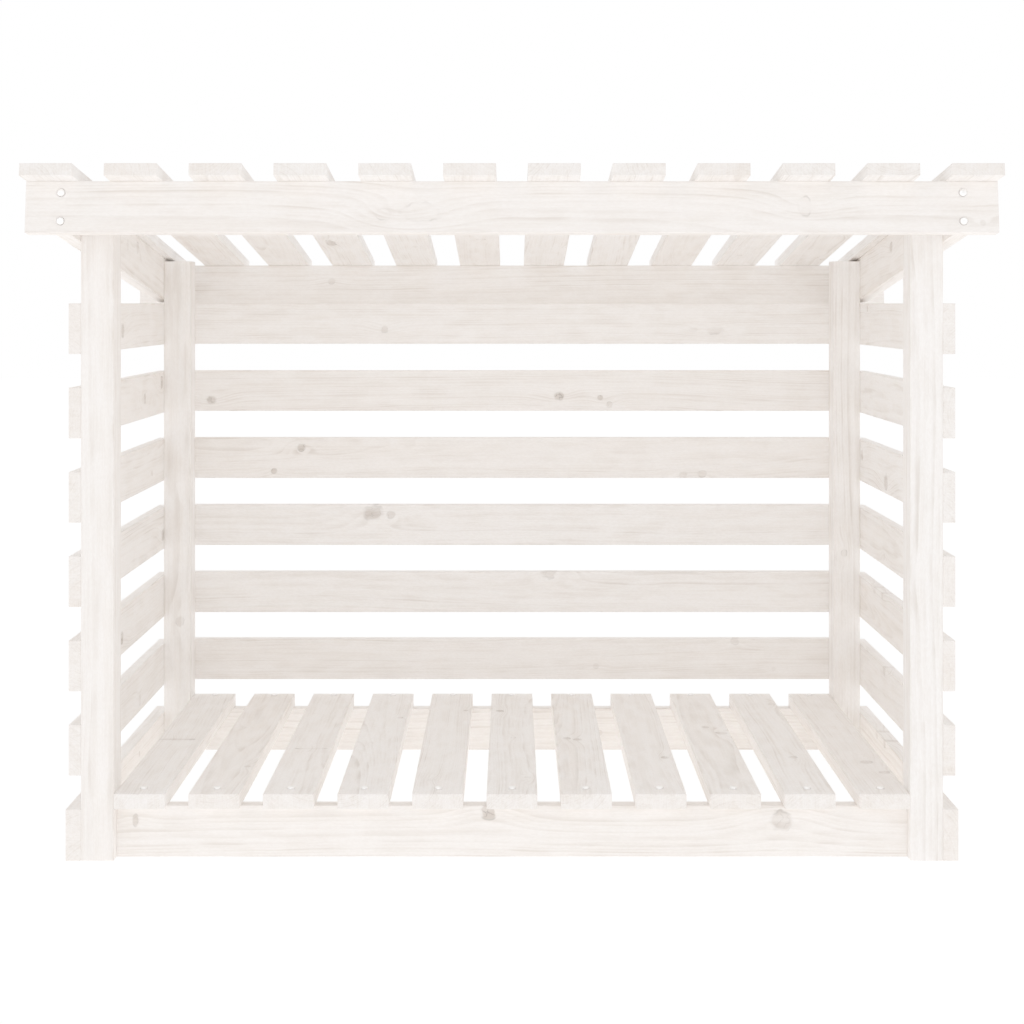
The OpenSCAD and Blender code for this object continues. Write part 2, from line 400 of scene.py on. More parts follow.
def board_section(half_y, half_z, radii, steps):
    """Points round a board's section, whose four arrises have the given radii."""
    points = []
    for corner, radius in enumerate(radii):
        start = corner * math.pi / 2
        side_y = 1 if corner in (0, 3) else -1
        side_z = 1 if corner in (0, 1) else -1
        for step in range(steps + 1):
            angle = start + step / steps * math.pi / 2
            points.append(
                (
                    side_y * (half_y - radius) + radius * math.cos(angle),
                    side_z * (half_z - radius) + radius * math.sin(angle),
                )
            )
    return points


def board_form(half, sizes, seed):
    """A board on stations along its length, with arrises that wander a little."""
    waves, corner_shift = 14, 5.3
    form = bmesh.new()
    inner = half.x - sizes.end_ease
    count = max(2, round(2 * inner / sizes.station))
    stations = [(-half.x, sizes.end_ease)]
    stations += [(inner * (2 * i / count - 1), 0) for i in range(count + 1)]
    stations += [(half.x, sizes.end_ease)]
    rings = []
    for x, ease in stations:
        places = [(x * waves, corner * corner_shift, seed) for corner in range(4)]
        changes = [sizes.arris_change * noise.noise(place) for place in places]
        radii = [sizes.arris * (1 + change) for change in changes]
        section = board_section(half.y - ease, half.z - ease, radii, sizes.arris_steps)
        rings.append([form.verts.new((x, y, z)) for y, z in section])
    around = len(rings[0])
    for near, far in zip(rings, rings[1:]):
        for i in range(around):
            j = (i + 1) % around
            face = form.faces.new((near[i], near[j], far[j], far[i]))
            face.smooth = i % (sizes.arris_steps + 1) != sizes.arris_steps
    form.faces.new(rings[0])
    form.faces.new(rings[-1])
    bmesh.ops.recalc_face_normals(form, faces=form.faces)
    return form


def turned_form(profile, sides):
    """A form turned round Z from (radius, height) points, from axis to axis."""
    form = bmesh.new()
    rings = []
    for radius, height in profile:
        if radius == 0:
            rings.append([form.verts.new((0, 0, height))])
        else:
            angles = [2 * math.pi * i / sides for i in range(sides)]
            rings.append(
                [
                    form.verts.new((radius * math.cos(a), radius * math.sin(a), height))
                    for a in angles
                ]
            )
    for near, far in zip(rings, rings[1:]):
        for i in range(sides):
            j = (i + 1) % sides
            corners = [near[i % len(near)], near[j % len(near)]]
            corners += [far[j % len(far)], far[i % len(far)]]
            face = form.faces.new(list(dict.fromkeys(corners)))
            face.smooth = len(near) > 1 and len(far) > 1
    bmesh.ops.recalc_face_normals(form, faces=form.faces)
    return form


def to_object(form, name):
    """An object made of a form, linked to the scene. The form is freed."""
    mesh = bpy.data.meshes.new(name)
    form.to_mesh(mesh)
    form.free()
    made = bpy.data.objects.new(name, mesh)
    bpy.context.scene.collection.objects.link(made)
    return made


def cut_away(piece, cutter):
    """Takes the cutter's space out of the piece, and removes the cutter."""
    cut = piece.modifiers.new("bores", "BOOLEAN")
    cut.operation, cut.solver, cut.object = "DIFFERENCE", "EXACT", cutter
    depsgraph = bpy.context.evaluated_depsgraph_get()
    result = piece.evaluated_get(depsgraph)
    mesh = bpy.data.meshes.new_from_object(result, depsgraph=depsgraph)
    piece.modifiers.clear()
    blank, piece.data = piece.data, mesh
    mesh.name = piece.name
    if not mesh.polygons:
        raise RuntimeError(f"{piece.name} was lost when it was bored")
    bpy.data.meshes.remove(blank)
    bpy.data.meshes.remove(cutter.data)


def add_placed(forms, form, place, direction, spin):
    """Adds a turned form to forms, with its origin at place and -Z along direction."""
    turn = Vector((0, 0, -1)).rotation_difference(direction).to_matrix().to_4x4()
    mesh = bpy.data.meshes.new("placed")
    form.to_mesh(mesh)
    mesh.transform(Matrix.Translation(place) @ turn @ Matrix.Rotation(spin, 4, "Z"))
    forms.from_mesh(mesh)
    bpy.data.meshes.remove(mesh)


def bore_form(length, sizes):
    """Countersink and bore for a screw of that length, with its head at the origin."""
    bore = sizes.shank / 2 + sizes.bore_gap
    sink = sizes.head / 2 + sizes.sink_gap
    over, past = 1.2 * MM, 0.5 * MM
    slope = (sink - bore) / sizes.head_height
    profile = [
        (0, -length - past),
        (bore, -length - past),
        (bore, -sizes.head_height),
        (sink + slope * over, over),
        (0, over),
    ]
    return turned_form(profile, sizes.sides)


def cross_form(sizes, top):
    """Cutter for the cross recess of a head whose top is at that height."""
    form = bmesh.new()
    corners = []
    for level, share in ((-sizes.recess_depth, 0.6), (sizes.recess_depth, 1.4)):
        reach = sizes.recess / 2 * share
        wide = sizes.recess_width / 2 * (0.6 + 0.4 * share)
        outline = []
        for quarter in range(4):
            spin = Matrix.Rotation(quarter * math.pi / 2, 3, "Z")
            for x, y in ((reach, -wide), (reach, wide), (wide, wide)):
                outline.append(spin @ Vector((x, y, top + level)))
        corners.append([form.verts.new(place) for place in outline])
    for i in range(len(corners[0])):
        j = (i + 1) % len(corners[0])
        form.faces.new((corners[0][i], corners[0][j], corners[1][j], corners[1][i]))
    for outline in corners:
        form.faces.new(outline)
    bmesh.ops.recalc_face_normals(form, faces=form.faces)
    return form


def screw_form(length, sizes, rise):
    """A screw that points down: a head with a cross recess on a countersunk neck."""
    rim, shank = sizes.head / 2, sizes.shank / 2
    edge, drop = sizes.head_edge, sizes.head_drop
    profile = [
        (0, -length),
        (shank, -length + sizes.tip),
        (shank, -sizes.head_height),
        (rim - edge / 2, -drop - edge),
        (rim, -drop - edge / 2),
    ]
    profile += [(rim * across, rise * up) for across, up in HEAD_TOP]
    screw = to_object(turned_form(profile, sizes.sides), "screw")
    cut_away(screw, to_object(cross_form(sizes, rise), "cross"))
    form = bmesh.new()
    form.from_mesh(screw.data)
    bpy.data.meshes.remove(screw.data)
    return form


# Materials


class Nodes:
    """Adds nodes to a tree, each fed with the values or sockets that it is given."""

    def __init__(self, tree):
        self.tree = tree

    def feed(self, socket, value):
        if isinstance(value, bpy.types.NodeSocket):
            self.tree.links.new(value, socket)
        else:
            socket.default_value = value

    def add(self, kind, fed=None, **settings):
        node = self.tree.nodes.new(kind)
        for name, value in settings.items():
            setattr(node, name, value)
        for name, value in (fed or {}).items():
            self.feed(node.inputs[name], value)
        return node

    def math(self, operation, *values):
        node = self.add("ShaderNodeMath", dict(enumerate(values)), operation=operation)
        return node.outputs[0]

    def vector(self, operation, *values):
        fed = dict(enumerate(values))
        node = self.add("ShaderNodeVectorMath", fed, operation=operation)
        return node.outputs["Value" if operation == "LENGTH" else "Vector"]

    def split(self, vector):
        return self.add("ShaderNodeSeparateXYZ", {0: vector}).outputs[:3]

    def join(self, x, y, z):
        return self.add("ShaderNodeCombineXYZ", {0: x, 1: y, 2: z}).outputs[0]

    def fade(self, value, start, end, low=0.0, high=1.0):
        """Goes smoothly from low to high as value goes from start to end."""
        fed = {0: value, 1: start, 2: end, 3: low, 4: high}
        node = self.add("ShaderNodeMapRange", fed, interpolation_type="SMOOTHSTEP")
        return node.outputs[0]

    def weigh(self, *parts):
        """Sum of (value, weight) parts."""
        total, *others = (self.math("MULTIPLY", *part) for part in parts)
        for part in others:
            total = self.math("ADD", total, part)
        return total

    def blend(self, share, first, second):
        """Goes from the first colour to the second as share goes from 0 to 1."""
        fed = {0: share, 6: first, 7: second}
        return self.add("ShaderNodeMix", fed, data_type="RGBA").outputs[2]

    def coat(self, colour, *layers):
        """Lays (mask, strength, colour) layers over a colour, one on the other."""
        for mask, strength, layer in layers:
            share = self.math("MULTIPLY", mask, strength)
            colour = self.blend(share, colour, (*layer, 1))
        return colour

    def noise(self, place, scales, seed, detail=2.0, roughness=0.5):
        """Noise node of so many features a metre along each axis."""
        scaled = self.vector("MULTIPLY", place, scales)
        moved = self.vector("ADD", scaled, self.join(seed, seed, seed))
        fed = {"Vector": moved, "Scale": 1.0, "Detail": detail, "Roughness": roughness}
        return self.add("ShaderNodeTexNoise", fed)

    def own(self, name):
        """Outputs for a value of the piece itself, from its custom properties."""
        return self.add(
            "ShaderNodeAttribute", attribute_type="OBJECT", attribute_name=name
        ).outputs

    def group(self, tree, fed):
        return self.add("ShaderNodeGroup", fed, node_tree=tree).outputs


def new_group(name, takes, gives):
    """(nodes, inputs, output node) of a new node group. takes has input defaults."""
    tree = bpy.data.node_groups.new(name, "ShaderNodeTree")
    for label, default in takes.items():
        kind = "NodeSocketFloat" if isinstance(default, float) else "NodeSocketVector"
        socket = tree.interface.new_socket(name=label, in_out="INPUT", socket_type=kind)
        socket.default_value = default
    for label in gives:
        tree.interface.new_socket(
            name=label, in_out="OUTPUT", socket_type="NodeSocketFloat"
        )
    nodes = Nodes(tree)
    inputs = nodes.add("NodeGroupInput").outputs
    return nodes, inputs, nodes.add("NodeGroupOutput")


def growth_ring_group():
    """Growth rings round a pith that runs nearly along the board."""
    wander_reach, ripple_reach, year_scale, year_change = 0.016, 0.002, 0.23, 3.0
    takes = {
        "Place": (0.0, 0.0, 0.0),
        "Pith": (0.0, -0.06, 0.0),
        "Bulge": 0.0,
        "Ring Width": 0.003,
        "Seed": 0.0,
    }
    n, given, out = new_group("growth_rings", takes, ("Latewood", "Heartwood", "Line"))
    place, seed = given["Place"], given["Seed"]
    x, y, z = n.split(place)
    pith_y, pith_z, drift = n.split(given["Pith"])
    wander = n.noise(place, RING_WANDER, seed, 0.0).outputs["Color"]
    wander = n.vector("SUBTRACT", wander, (0.5, 0.5, 0.5))
    wander = n.vector("MULTIPLY", wander, (0.0, wander_reach, wander_reach))
    _, wander_y, wander_z = n.split(wander)
    ripple = n.noise(place, RING_RIPPLE, seed, 1.0).outputs["Fac"]
    ripple = n.math("MULTIPLY", n.math("SUBTRACT", ripple, 0.5), ripple_reach)
    slant = n.math("MULTIPLY", x, drift)
    off_y = n.math("ADD", n.math("SUBTRACT", y, pith_y), wander_y)
    off_z = n.math("ADD", n.math("SUBTRACT", z, pith_z), wander_z)
    off_z = n.math("ADD", off_z, slant)
    radius = n.vector("LENGTH", n.join(0.0, off_y, off_z))
    radius = n.math("ADD", n.math("ADD", radius, given["Bulge"]), ripple)
    years = n.math("DIVIDE", radius, given["Ring Width"])
    fed = {"W": years, "Scale": year_scale, "Detail": 0.0}
    uneven = n.add("ShaderNodeTexNoise", fed, noise_dimensions="1D").outputs["Fac"]
    years = n.math("ADD", years, n.math("MULTIPLY", uneven, year_change))
    year = n.math("FLOOR", years)
    part = n.math("FRACT", years)
    # A year's wood darkens slowly to its latewood and ends sharply, some years more so
    rise = n.math("MULTIPLY", n.fade(part, 0.15, 0.85), n.fade(part, 1.0, 0.85))
    vigour = n.add("ShaderNodeTexWhiteNoise", {"W": year}, noise_dimensions="1D")
    vigour = n.fade(vigour.outputs["Value"], 0.2, 1.0, 0.25, 1.0)
    worn = n.noise(place, RING_WEAR, seed, 1.0).outputs["Fac"]
    late = n.math("MULTIPLY", rise, vigour)
    late = n.math("MULTIPLY", late, n.fade(worn, 0.34, 0.62, 0.3, 1.0))
    line = n.math("MULTIPLY", n.fade(part, 0.74, 0.88), n.fade(part, 1.0, 0.93))
    n.feed(out.inputs["Latewood"], late)
    n.feed(out.inputs["Heartwood"], n.fade(radius, 0.055, 0.012))
    n.feed(out.inputs["Line"], line)
    return n.tree


def knot_group():
    """One knot that goes through the board, with the grain pushed aside round it."""
    lean, push_length, push_reach, push = 0.22, 0.42, 2.3, 1.2
    takes = {
        "Place": (0.0, 0.0, 0.0),
        "Knot": NO_KNOT,
        "Look": NO_LOOK,
        "Uneven": 1.0,
        "Broken": 1.0,
    }
    n, given, out = new_group("knot", takes, KNOT_MASKS)
    x, y, z = n.split(given["Place"])
    knot_x, knot_y, radius = n.split(given["Knot"])
    dark, flatness, _ = n.split(given["Look"])
    slant = n.math("MULTIPLY", z, lean)
    off_x = n.math("ADD", n.math("SUBTRACT", x, knot_x), slant)
    off_y = n.math("SUBTRACT", y, knot_y)
    off = n.join(off_x, off_y, 0.0)
    uneven = given["Uneven"]
    oval = n.vector("LENGTH", n.join(n.math("MULTIPLY", off_x, flatness), off_y, 0.0))
    away = n.math("DIVIDE", n.math("MULTIPLY", oval, uneven), radius)
    reach = n.vector("LENGTH", n.vector("MULTIPLY", off, (push_length, 1.0, 1.0)))
    small = n.math("DIVIDE", radius, n.math("MAXIMUM", flatness, 1.0))
    fall = n.math("DIVIDE", reach, n.math("MULTIPLY", small, push_reach))
    fall = n.math("EXPONENT", n.math("MULTIPLY", n.math("MULTIPLY", fall, fall), -1.0))
    bulge = n.math("MULTIPLY", n.math("MULTIPLY", fall, small), push)
    core = n.fade(away, 1.0, 0.78)
    core = n.math("MULTIPLY", core, n.fade(dark, 0.0, 1.0, 0.05, 1.0))
    # The bark line is broken here and there, and shows most beside the knot
    rim = n.math("MULTIPLY", n.fade(away, 0.78, 0.97), n.fade(away, 1.2, 1.0))
    rim = n.math("MULTIPLY", rim, given["Broken"])
    level = n.math("DIVIDE", n.math("ABSOLUTE", off_y), oval)
    rim = n.math("MULTIPLY", rim, n.fade(level, 0.45, 0.85, 0.3, 1.0))
    rim = n.math("MULTIPLY", rim, n.fade(dark, 0.0, 1.0, 0.6, 1.0))
    split = n.fade(n.math("ABSOLUTE", n.math("SUBTRACT", uneven, 1.0)), 0.035, 0.008)
    split = n.math("MULTIPLY", split, n.fade(away, 1.0, 0.6))
    split = n.math("MULTIPLY", split, n.fade(dark, 0.4, 1.0))
    for mask, made in zip(KNOT_MASKS, (bulge, core, rim, split)):
        n.feed(out.inputs[mask], made)
    return n.tree


def knots_group():
    """All the knots of a board, on one pattern of uneven outlines."""
    takes = {"Place": (0.0, 0.0, 0.0), "Seed": 0.0}
    for number in KNOT_NUMBERS:
        takes[f"Knot {number}"], takes[f"Look {number}"] = NO_KNOT, NO_LOOK
    n, given, out = new_group("knots", takes, KNOT_MASKS)
    place, seed = given["Place"], given["Seed"]
    uneven = n.noise(place, KNOT_OUTLINE, seed, 1.0).outputs["Fac"]
    uneven = n.fade(uneven, 0.2, 0.8, 0.82, 1.18)
    broken = n.noise(place, KNOT_BREAKS, seed, 0.0).outputs["Fac"]
    broken = n.fade(broken, 0.4, 0.58, 0.3, 1.0)
    one = knot_group()
    knots = []
    for number in KNOT_NUMBERS:
        fed = {"Place": place, "Uneven": uneven, "Broken": broken}
        fed["Knot"], fed["Look"] = given[f"Knot {number}"], given[f"Look {number}"]
        knots.append(n.group(one, fed))
    for mask in KNOT_MASKS:
        way = "ADD" if mask == "Bulge" else "MAXIMUM"
        joined = knots[0][mask]
        for knot in knots[1:]:
            joined = n.math(way, joined, knot[mask])
        n.feed(out.inputs[mask], joined)
    return n.tree


def fibre_group():
    """Long wood fibres, and the small pores and flecks between them."""
    takes = {"Place": (0.0, 0.0, 0.0), "Seed": 0.0}
    n, given, out = new_group("fibres", takes, ("Streak", "Fleck"))
    place, seed = given["Place"], given["Seed"]
    fine = n.noise(place, FINE_FIBRES, seed, 0.0).outputs["Fac"]
    broad = n.noise(place, BROAD_FIBRES, seed, 1.0).outputs["Fac"]
    streak = n.weigh((fine, 0.45), (broad, 0.55))
    n.feed(out.inputs["Streak"], n.fade(streak, 0.3, 0.7))
    fleck = n.noise(place, FLECKS, seed, 1.0).outputs["Fac"]
    n.feed(out.inputs["Fleck"], n.fade(fleck, 0.3, 0.7))
    return n.tree


def stain_group():
    """How well the white stain covers, brushed along the board and thin in places."""
    takes = {"Place": (0.0, 0.0, 0.0), "Seed": 0.0}
    n, given, out = new_group("stain_cover", takes, ("Cover",))
    place, seed = given["Place"], given["Seed"]
    brushed = n.noise(place, BRUSH_STROKES, seed, 2.0, 0.6).outputs["Fac"]
    cloudy = n.noise(place, STAIN_CLOUDS, seed, 1.0).outputs["Fac"]
    cover = n.weigh((brushed, 0.5), (cloudy, 0.5))
    n.feed(out.inputs["Cover"], n.fade(cover, 0.32, 0.68))
    return n.tree


def edge_group():
    """Rubbed arrises and sawn ends of a board, from its half size."""
    takes = {"Place": (0.0, 0.0, 0.0), "Half Size": (0.5, 0.03, 0.01), "Seed": 0.0}
    n, given, out = new_group("board_edges", takes, ("Arris", "Sawn End", "Saw Mark"))
    place, seed = given["Place"], given["Seed"]
    inside = n.vector("SUBTRACT", given["Half Size"], n.vector("ABSOLUTE", place))
    end, side, face = n.split(inside)
    corner = n.vector("LENGTH", n.join(0.0, side, face))
    rubbed = n.fade(n.noise(place, RUBBING, seed, 1.0).outputs["Fac"], 0.38, 0.66)
    arris = n.math("MULTIPLY", n.fade(corner, 0.0028, 0.001), rubbed)
    n.feed(out.inputs["Arris"], arris)
    sawn = n.fade(end, 0.0004, 0.0001)
    marks = n.noise(place, SAW_TEETH, seed, 1.0).outputs["Fac"]
    n.feed(out.inputs["Sawn End"], sawn)
    n.feed(out.inputs["Saw Mark"], n.math("MULTIPLY", sawn, n.fade(marks, 0.38, 0.66)))
    return n.tree


def shared_groups():
    """The node groups that the materials share, made once."""
    makers = {
        "growth_rings": growth_ring_group,
        "knots": knots_group,
        "fibres": fibre_group,
        "stain_cover": stain_group,
        "board_edges": edge_group,
    }
    made = bpy.data.node_groups
    return {name: made.get(name) or make() for name, make in makers.items()}


def pine_material(name, colours, cover):
    """Pine under a thin white stain. cover is how much of the wood the stain hides."""
    if name in bpy.data.materials:
        return bpy.data.materials[name]
    groups = shared_groups()
    material = bpy.data.materials.new(name)
    material.use_nodes = True
    n = Nodes(material.node_tree)
    shader = material.node_tree.nodes["Principled BSDF"]
    place = n.add("ShaderNodeTexCoord").outputs["Object"]
    shared = {"Place": place, "Seed": n.own("seed")["Fac"]}

    fed = dict(shared)
    for number in KNOT_NUMBERS:
        fed[f"Knot {number}"] = n.own(f"knot_{number}")["Vector"]
        fed[f"Look {number}"] = n.own(f"knot_{number}_look")["Vector"]
    knots = n.group(groups["knots"], fed)
    bulge, core, rim, crack = (knots[mask] for mask in KNOT_MASKS)
    fed = {
        **shared,
        "Pith": n.own("pith")["Vector"],
        "Bulge": bulge,
        "Ring Width": n.own("ring_width")["Fac"],
    }
    rings = n.group(groups["growth_rings"], fed)
    fed = {**shared, "Half Size": n.own("half_size")["Vector"]}
    edges = n.group(groups["board_edges"], fed)
    fibres = n.group(groups["fibres"], shared)
    stain = n.group(groups["stain_cover"], shared)
    sawn = edges["Sawn End"]

    wood = n.coat(
        (*colours.earlywood, 1),
        (rings["Heartwood"], 0.6, colours.heartwood),
        (rings["Latewood"], n.fade(sawn, 0.0, 1.0, 1.0, 0.45), colours.latewood),
        (fibres["Streak"], 0.26, colours.latewood),
        (core, 1.0, colours.knot),
        (rim, 1.0, colours.knot_rim),
    )
    hidden = n.weigh(
        (n.fade(stain["Cover"], 0.0, 1.0, cover - 0.24, cover + 0.16), 1.0),
        (edges["Arris"], -0.3),
        (core, -0.26),
        (edges["Saw Mark"], -0.2),
        (sawn, -0.05),
    )
    finish = n.coat(
        wood,
        (hidden, 1.0, colours.stain),
        # Painted shade in the knots' drying cracks, near black where the cracks are
        # deepest
        (crack, 0.4, colours.crack),
        (fibres["Fleck"], 0.09, colours.latewood),
        (sawn, 0.05, colours.latewood),
        (n.own("tone")["Fac"], 0.2, colours.heartwood),
    )
    n.feed(shader.inputs["Base Color"], finish)

    rough = n.weigh(
        (n.fade(rings["Latewood"], 0.0, 1.0, 0.66, 0.56), 1.0),
        (fibres["Streak"], 0.06),
        (sawn, 0.12),
        (core, -0.12),
    )
    n.feed(shader.inputs["Roughness"], rough)

    height = n.weigh(
        (rings["Line"], 0.06),
        (fibres["Streak"], 0.05),
        (core, 0.12),
        (fibres["Fleck"], -0.04),
        (crack, -0.9),
    )
    bump = n.add("ShaderNodeBump", {"Strength": 0.8, "Distance": MM, "Height": height})
    n.feed(shader.inputs["Normal"], bump.outputs["Normal"])
    return material


def zinc_material(name, colours):
    """Bright zinc plating, brushed and a little dull in patches."""
    if name in bpy.data.materials:
        return bpy.data.materials[name]
    material = bpy.data.materials.new(name)
    material.use_nodes = True
    n = Nodes(material.node_tree)
    shader = material.node_tree.nodes["Principled BSDF"]
    place = n.add("ShaderNodeTexCoord").outputs["Object"]
    patches = n.noise(place, ZINC_PATCHES, 0.0, 3.0, 0.6).outputs["Fac"]
    scratches = n.noise(place, ZINC_SCRATCHES, 0.0, 1.0).outputs["Fac"]
    dull = n.fade(patches, 0.4, 0.7)
    colour = n.coat((*colours.zinc, 1), (dull, 1.0, colours.dull))
    n.feed(shader.inputs["Base Color"], colour)
    rough = n.weigh((n.fade(dull, 0.0, 1.0, 0.3, 0.46), 1.0), (scratches, 0.08))
    n.feed(shader.inputs["Roughness"], rough)
    shader.inputs["Metallic"].default_value = 1
    height = n.weigh((scratches, 0.012), (patches, 0.02))
    bump = n.add("ShaderNodeBump", {"Strength": 0.6, "Distance": MM, "Height": height})
    n.feed(shader.inputs["Normal"], bump.outputs["Normal"])
    return material


# Pieces


def knots_of(node, half, chance, distance):
    """(along, across, radius) and (darkness, flatness, 0) of each knot of a board."""
    most = len(KNOT_NUMBERS)
    found = [
        ((x * MM, y * MM, radius * MM), (dark, flatness, 0.0))
        for x, y, radius, dark, flatness in SEEN_KNOTS.get(node, ())
    ]
    if node not in SEEN_KNOTS:
        count = round(2 * half.x / distance + chance.uniform(-1, 1))
        count = min(most, max(1, count))
        share = 2 * half.x / count
        for i in range(count):
            x = -half.x + share * (i + chance.uniform(0.15, 0.85))
            y = chance.uniform(-0.85, 0.85) * half.y
            radius = chance.uniform(*KNOT_RADIUS) * MM
            dark = chance.uniform(*KNOT_DARKNESS)
            found.append(((x, y, radius), (dark, KNOT_FLATNESS, 0.0)))
    return found + [(NO_KNOT, NO_LOOK)] * (most - len(found))


def grain_of(piece, node, half, distance, ring_width):
    """Gives a board its own grain, knots and tone, the same on every run."""
    chance = random.Random(node)
    piece["seed"] = chance.uniform(*PATTERN_SEED)
    piece["tone"] = chance.uniform(0.0, 1.0)
    piece["half_size"] = list(half)
    across = chance.choice((-1, 1)) * chance.uniform(*PITH_ACROSS) * half.y
    depth = chance.choice((-1, 1)) * chance.uniform(*PITH_DEPTH)
    piece["pith"] = [across, depth, chance.uniform(*PITH_DRIFT)]
    piece["ring_width"] = ring_width * chance.uniform(*RING_SPREAD)
    for number, (knot, look) in enumerate(knots_of(node, half, chance, distance), 1):
        piece[f"knot_{number}"] = knot
        piece[f"knot_{number}_look"] = look


def passes(start, aim, length, half):
    """Whether a screw is in a board of that half size, tried every 2 mm along it."""
    steps = max(2, round(length / (2 * MM)))
    return any(
        all(abs(c) < h for c, h in zip(start + aim * (length * i / steps), half))
        for i in range(steps + 1)
    )


def build_board(scene, node, way, slot, screws, slope):
    """Shapes one board, bores it for the screws that pass it, and finishes it."""
    sizes, pine = scene.rack_boards, scene.rack_pine
    turn, middle, half = lie_of(node, way, slope)
    back = turn.transposed()
    piece = to_object(board_form(half, sizes, len(node) + middle.z), f"pine_{node}")
    bores = bmesh.new()
    for head, direction, length in screws:
        start, aim = back @ head - middle, back @ direction
        if passes(start, aim, length, half):
            form = bore_form(length, scene.rack_screws)
            add_placed(bores, form, start, aim, 0)
            form.free()
    cut_away(piece, to_object(bores, "bores"))
    piece.matrix_world = Matrix.Translation(turn @ middle) @ turn.to_4x4()
    piece.data.materials.clear()
    piece.data.materials.append(pine_material(f"white_{slot}", pine, STAIN_COVER[slot]))
    ring_width = pine.frame_rings if slot == FRAME_SLOT else pine.slat_rings
    grain_of(piece, node, half, sizes.knot_distance, ring_width)
    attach(piece, "root")
    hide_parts(node)


def build_boards(names, way, slot, tilted=False):
    """Shapes a group of like boards."""
    if not names:
        raise RuntimeError("the packed frame has none of these boards")
    screws = [screw for node in SCREW_NODES for screw in screws_in(node)]
    slope = slope_of_roof() if tilted else 0.0
    for node in names:
        build_board(bpy.context.scene, node, way, slot, screws, slope)
    return {"FINISHED"}


class RACK_OT_posts(bpy.types.Operator):
    """Two front posts and two shorter rear posts"""

    bl_idname = "rack.posts"
    bl_label = "Posts"

    def execute(self, context):
        names = boards_named("front_post", "rear_post")
        return build_boards(names, UPRIGHT, FRAME_SLOT)


class RACK_OT_lower_rails(bpy.types.Operator):
    """Front and rear rails on edge between the posts, which carry the floor"""

    bl_idname = "rack.lower_rails"
    bl_label = "Lower rails"

    def execute(self, context):
        names = boards_named("front_lower_rail", "rear_lower_rail")
        return build_boards(names, ALONG_THE_FRONT, FRAME_SLOT)


class RACK_OT_side_lower_rails(bpy.types.Operator):
    """Rails on the outside of the posts, at the foot of each side"""

    bl_idname = "rack.side_lower_rails"
    bl_label = "Side lower rails"

    def execute(self, context):
        names = boards_named("side_lower_rail")
        return build_boards(names, FRONT_TO_BACK_ON_EDGE, FRAME_SLOT)


class RACK_OT_floor_slats(bpy.types.Operator):
    """Slats of the floor, front to back"""

    bl_idname = "rack.floor_slats"
    bl_label = "Floor slats"

    def execute(self, context):
        return build_boards(boards_named("floor_slat"), FRONT_TO_BACK_FLAT, SLAT_SLOT)


class RACK_OT_back_slats(bpy.types.Operator):
    """Slats across the back"""

    bl_idname = "rack.back_slats"
    bl_label = "Back slats"

    def execute(self, context):
        return build_boards(boards_named("back_slat"), ALONG_THE_FRONT, SLAT_SLOT)


class RACK_OT_side_slats(bpy.types.Operator):
    """Slats on the outside of the posts at both sides"""

    bl_idname = "rack.side_slats"
    bl_label = "Side slats"

    def execute(self, context):
        return build_boards(boards_named("side_slat"), FRONT_TO_BACK_ON_EDGE, SLAT_SLOT)


class RACK_OT_fascias(bpy.types.Operator):
    """Front and rear boards of the roof frame"""

    bl_idname = "rack.fascias"
    bl_label = "Fascias"

    def execute(self, context):
        names = boards_named("roof_front_fascia", "roof_rear_fascia")
        return build_boards(names, ALONG_THE_FRONT, FRAME_SLOT, tilted=True)


class RACK_OT_roof_side_rails(bpy.types.Operator):
    """Sloping rails of the roof frame, on the posts' outer faces"""

    bl_idname = "rack.roof_side_rails"
    bl_label = "Roof side rails"

    def execute(self, context):
        names = boards_named("roof_side_rail")
        return build_boards(names, FRONT_TO_BACK_ON_EDGE, FRAME_SLOT, tilted=True)


class RACK_OT_roof_slats(bpy.types.Operator):
    """Slats of the roof, front to back down the slope"""

    bl_idname = "rack.roof_slats"
    bl_label = "Roof slats"

    def execute(self, context):
        names = boards_named("roof_slat")
        return build_boards(names, FRONT_TO_BACK_FLAT, SLAT_SLOT, tilted=True)


class RACK_OT_screws(bpy.types.Operator):
    """Screws of the whole rack, one piece for each group"""

    bl_idname = "rack.screws"
    bl_label = "Screws"

    def execute(self, context):
        sizes = context.scene.rack_screws
        name, chance = f"bright_{SCREW_SLOT}", random.Random("screws")
        for node in SCREW_NODES:
            group, made = bmesh.new(), {}
            rise = 0 if node == FLUSH_SCREWS else sizes.head_rise
            for head, direction, length in screws_in(node):
                key = round(length, 5)
                if key not in made:
                    made[key] = screw_form(length, sizes, rise)
                spin = chance.uniform(0, math.pi)
                add_placed(group, made[key], head, direction, spin)
            for form in made.values():
                form.free()
            piece = to_object(group, f"zinc_{node}")
            piece.data.materials.append(zinc_material(name, context.scene.rack_zinc))
            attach(piece, "root")
            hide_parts(node)
        return {"FINISHED"}


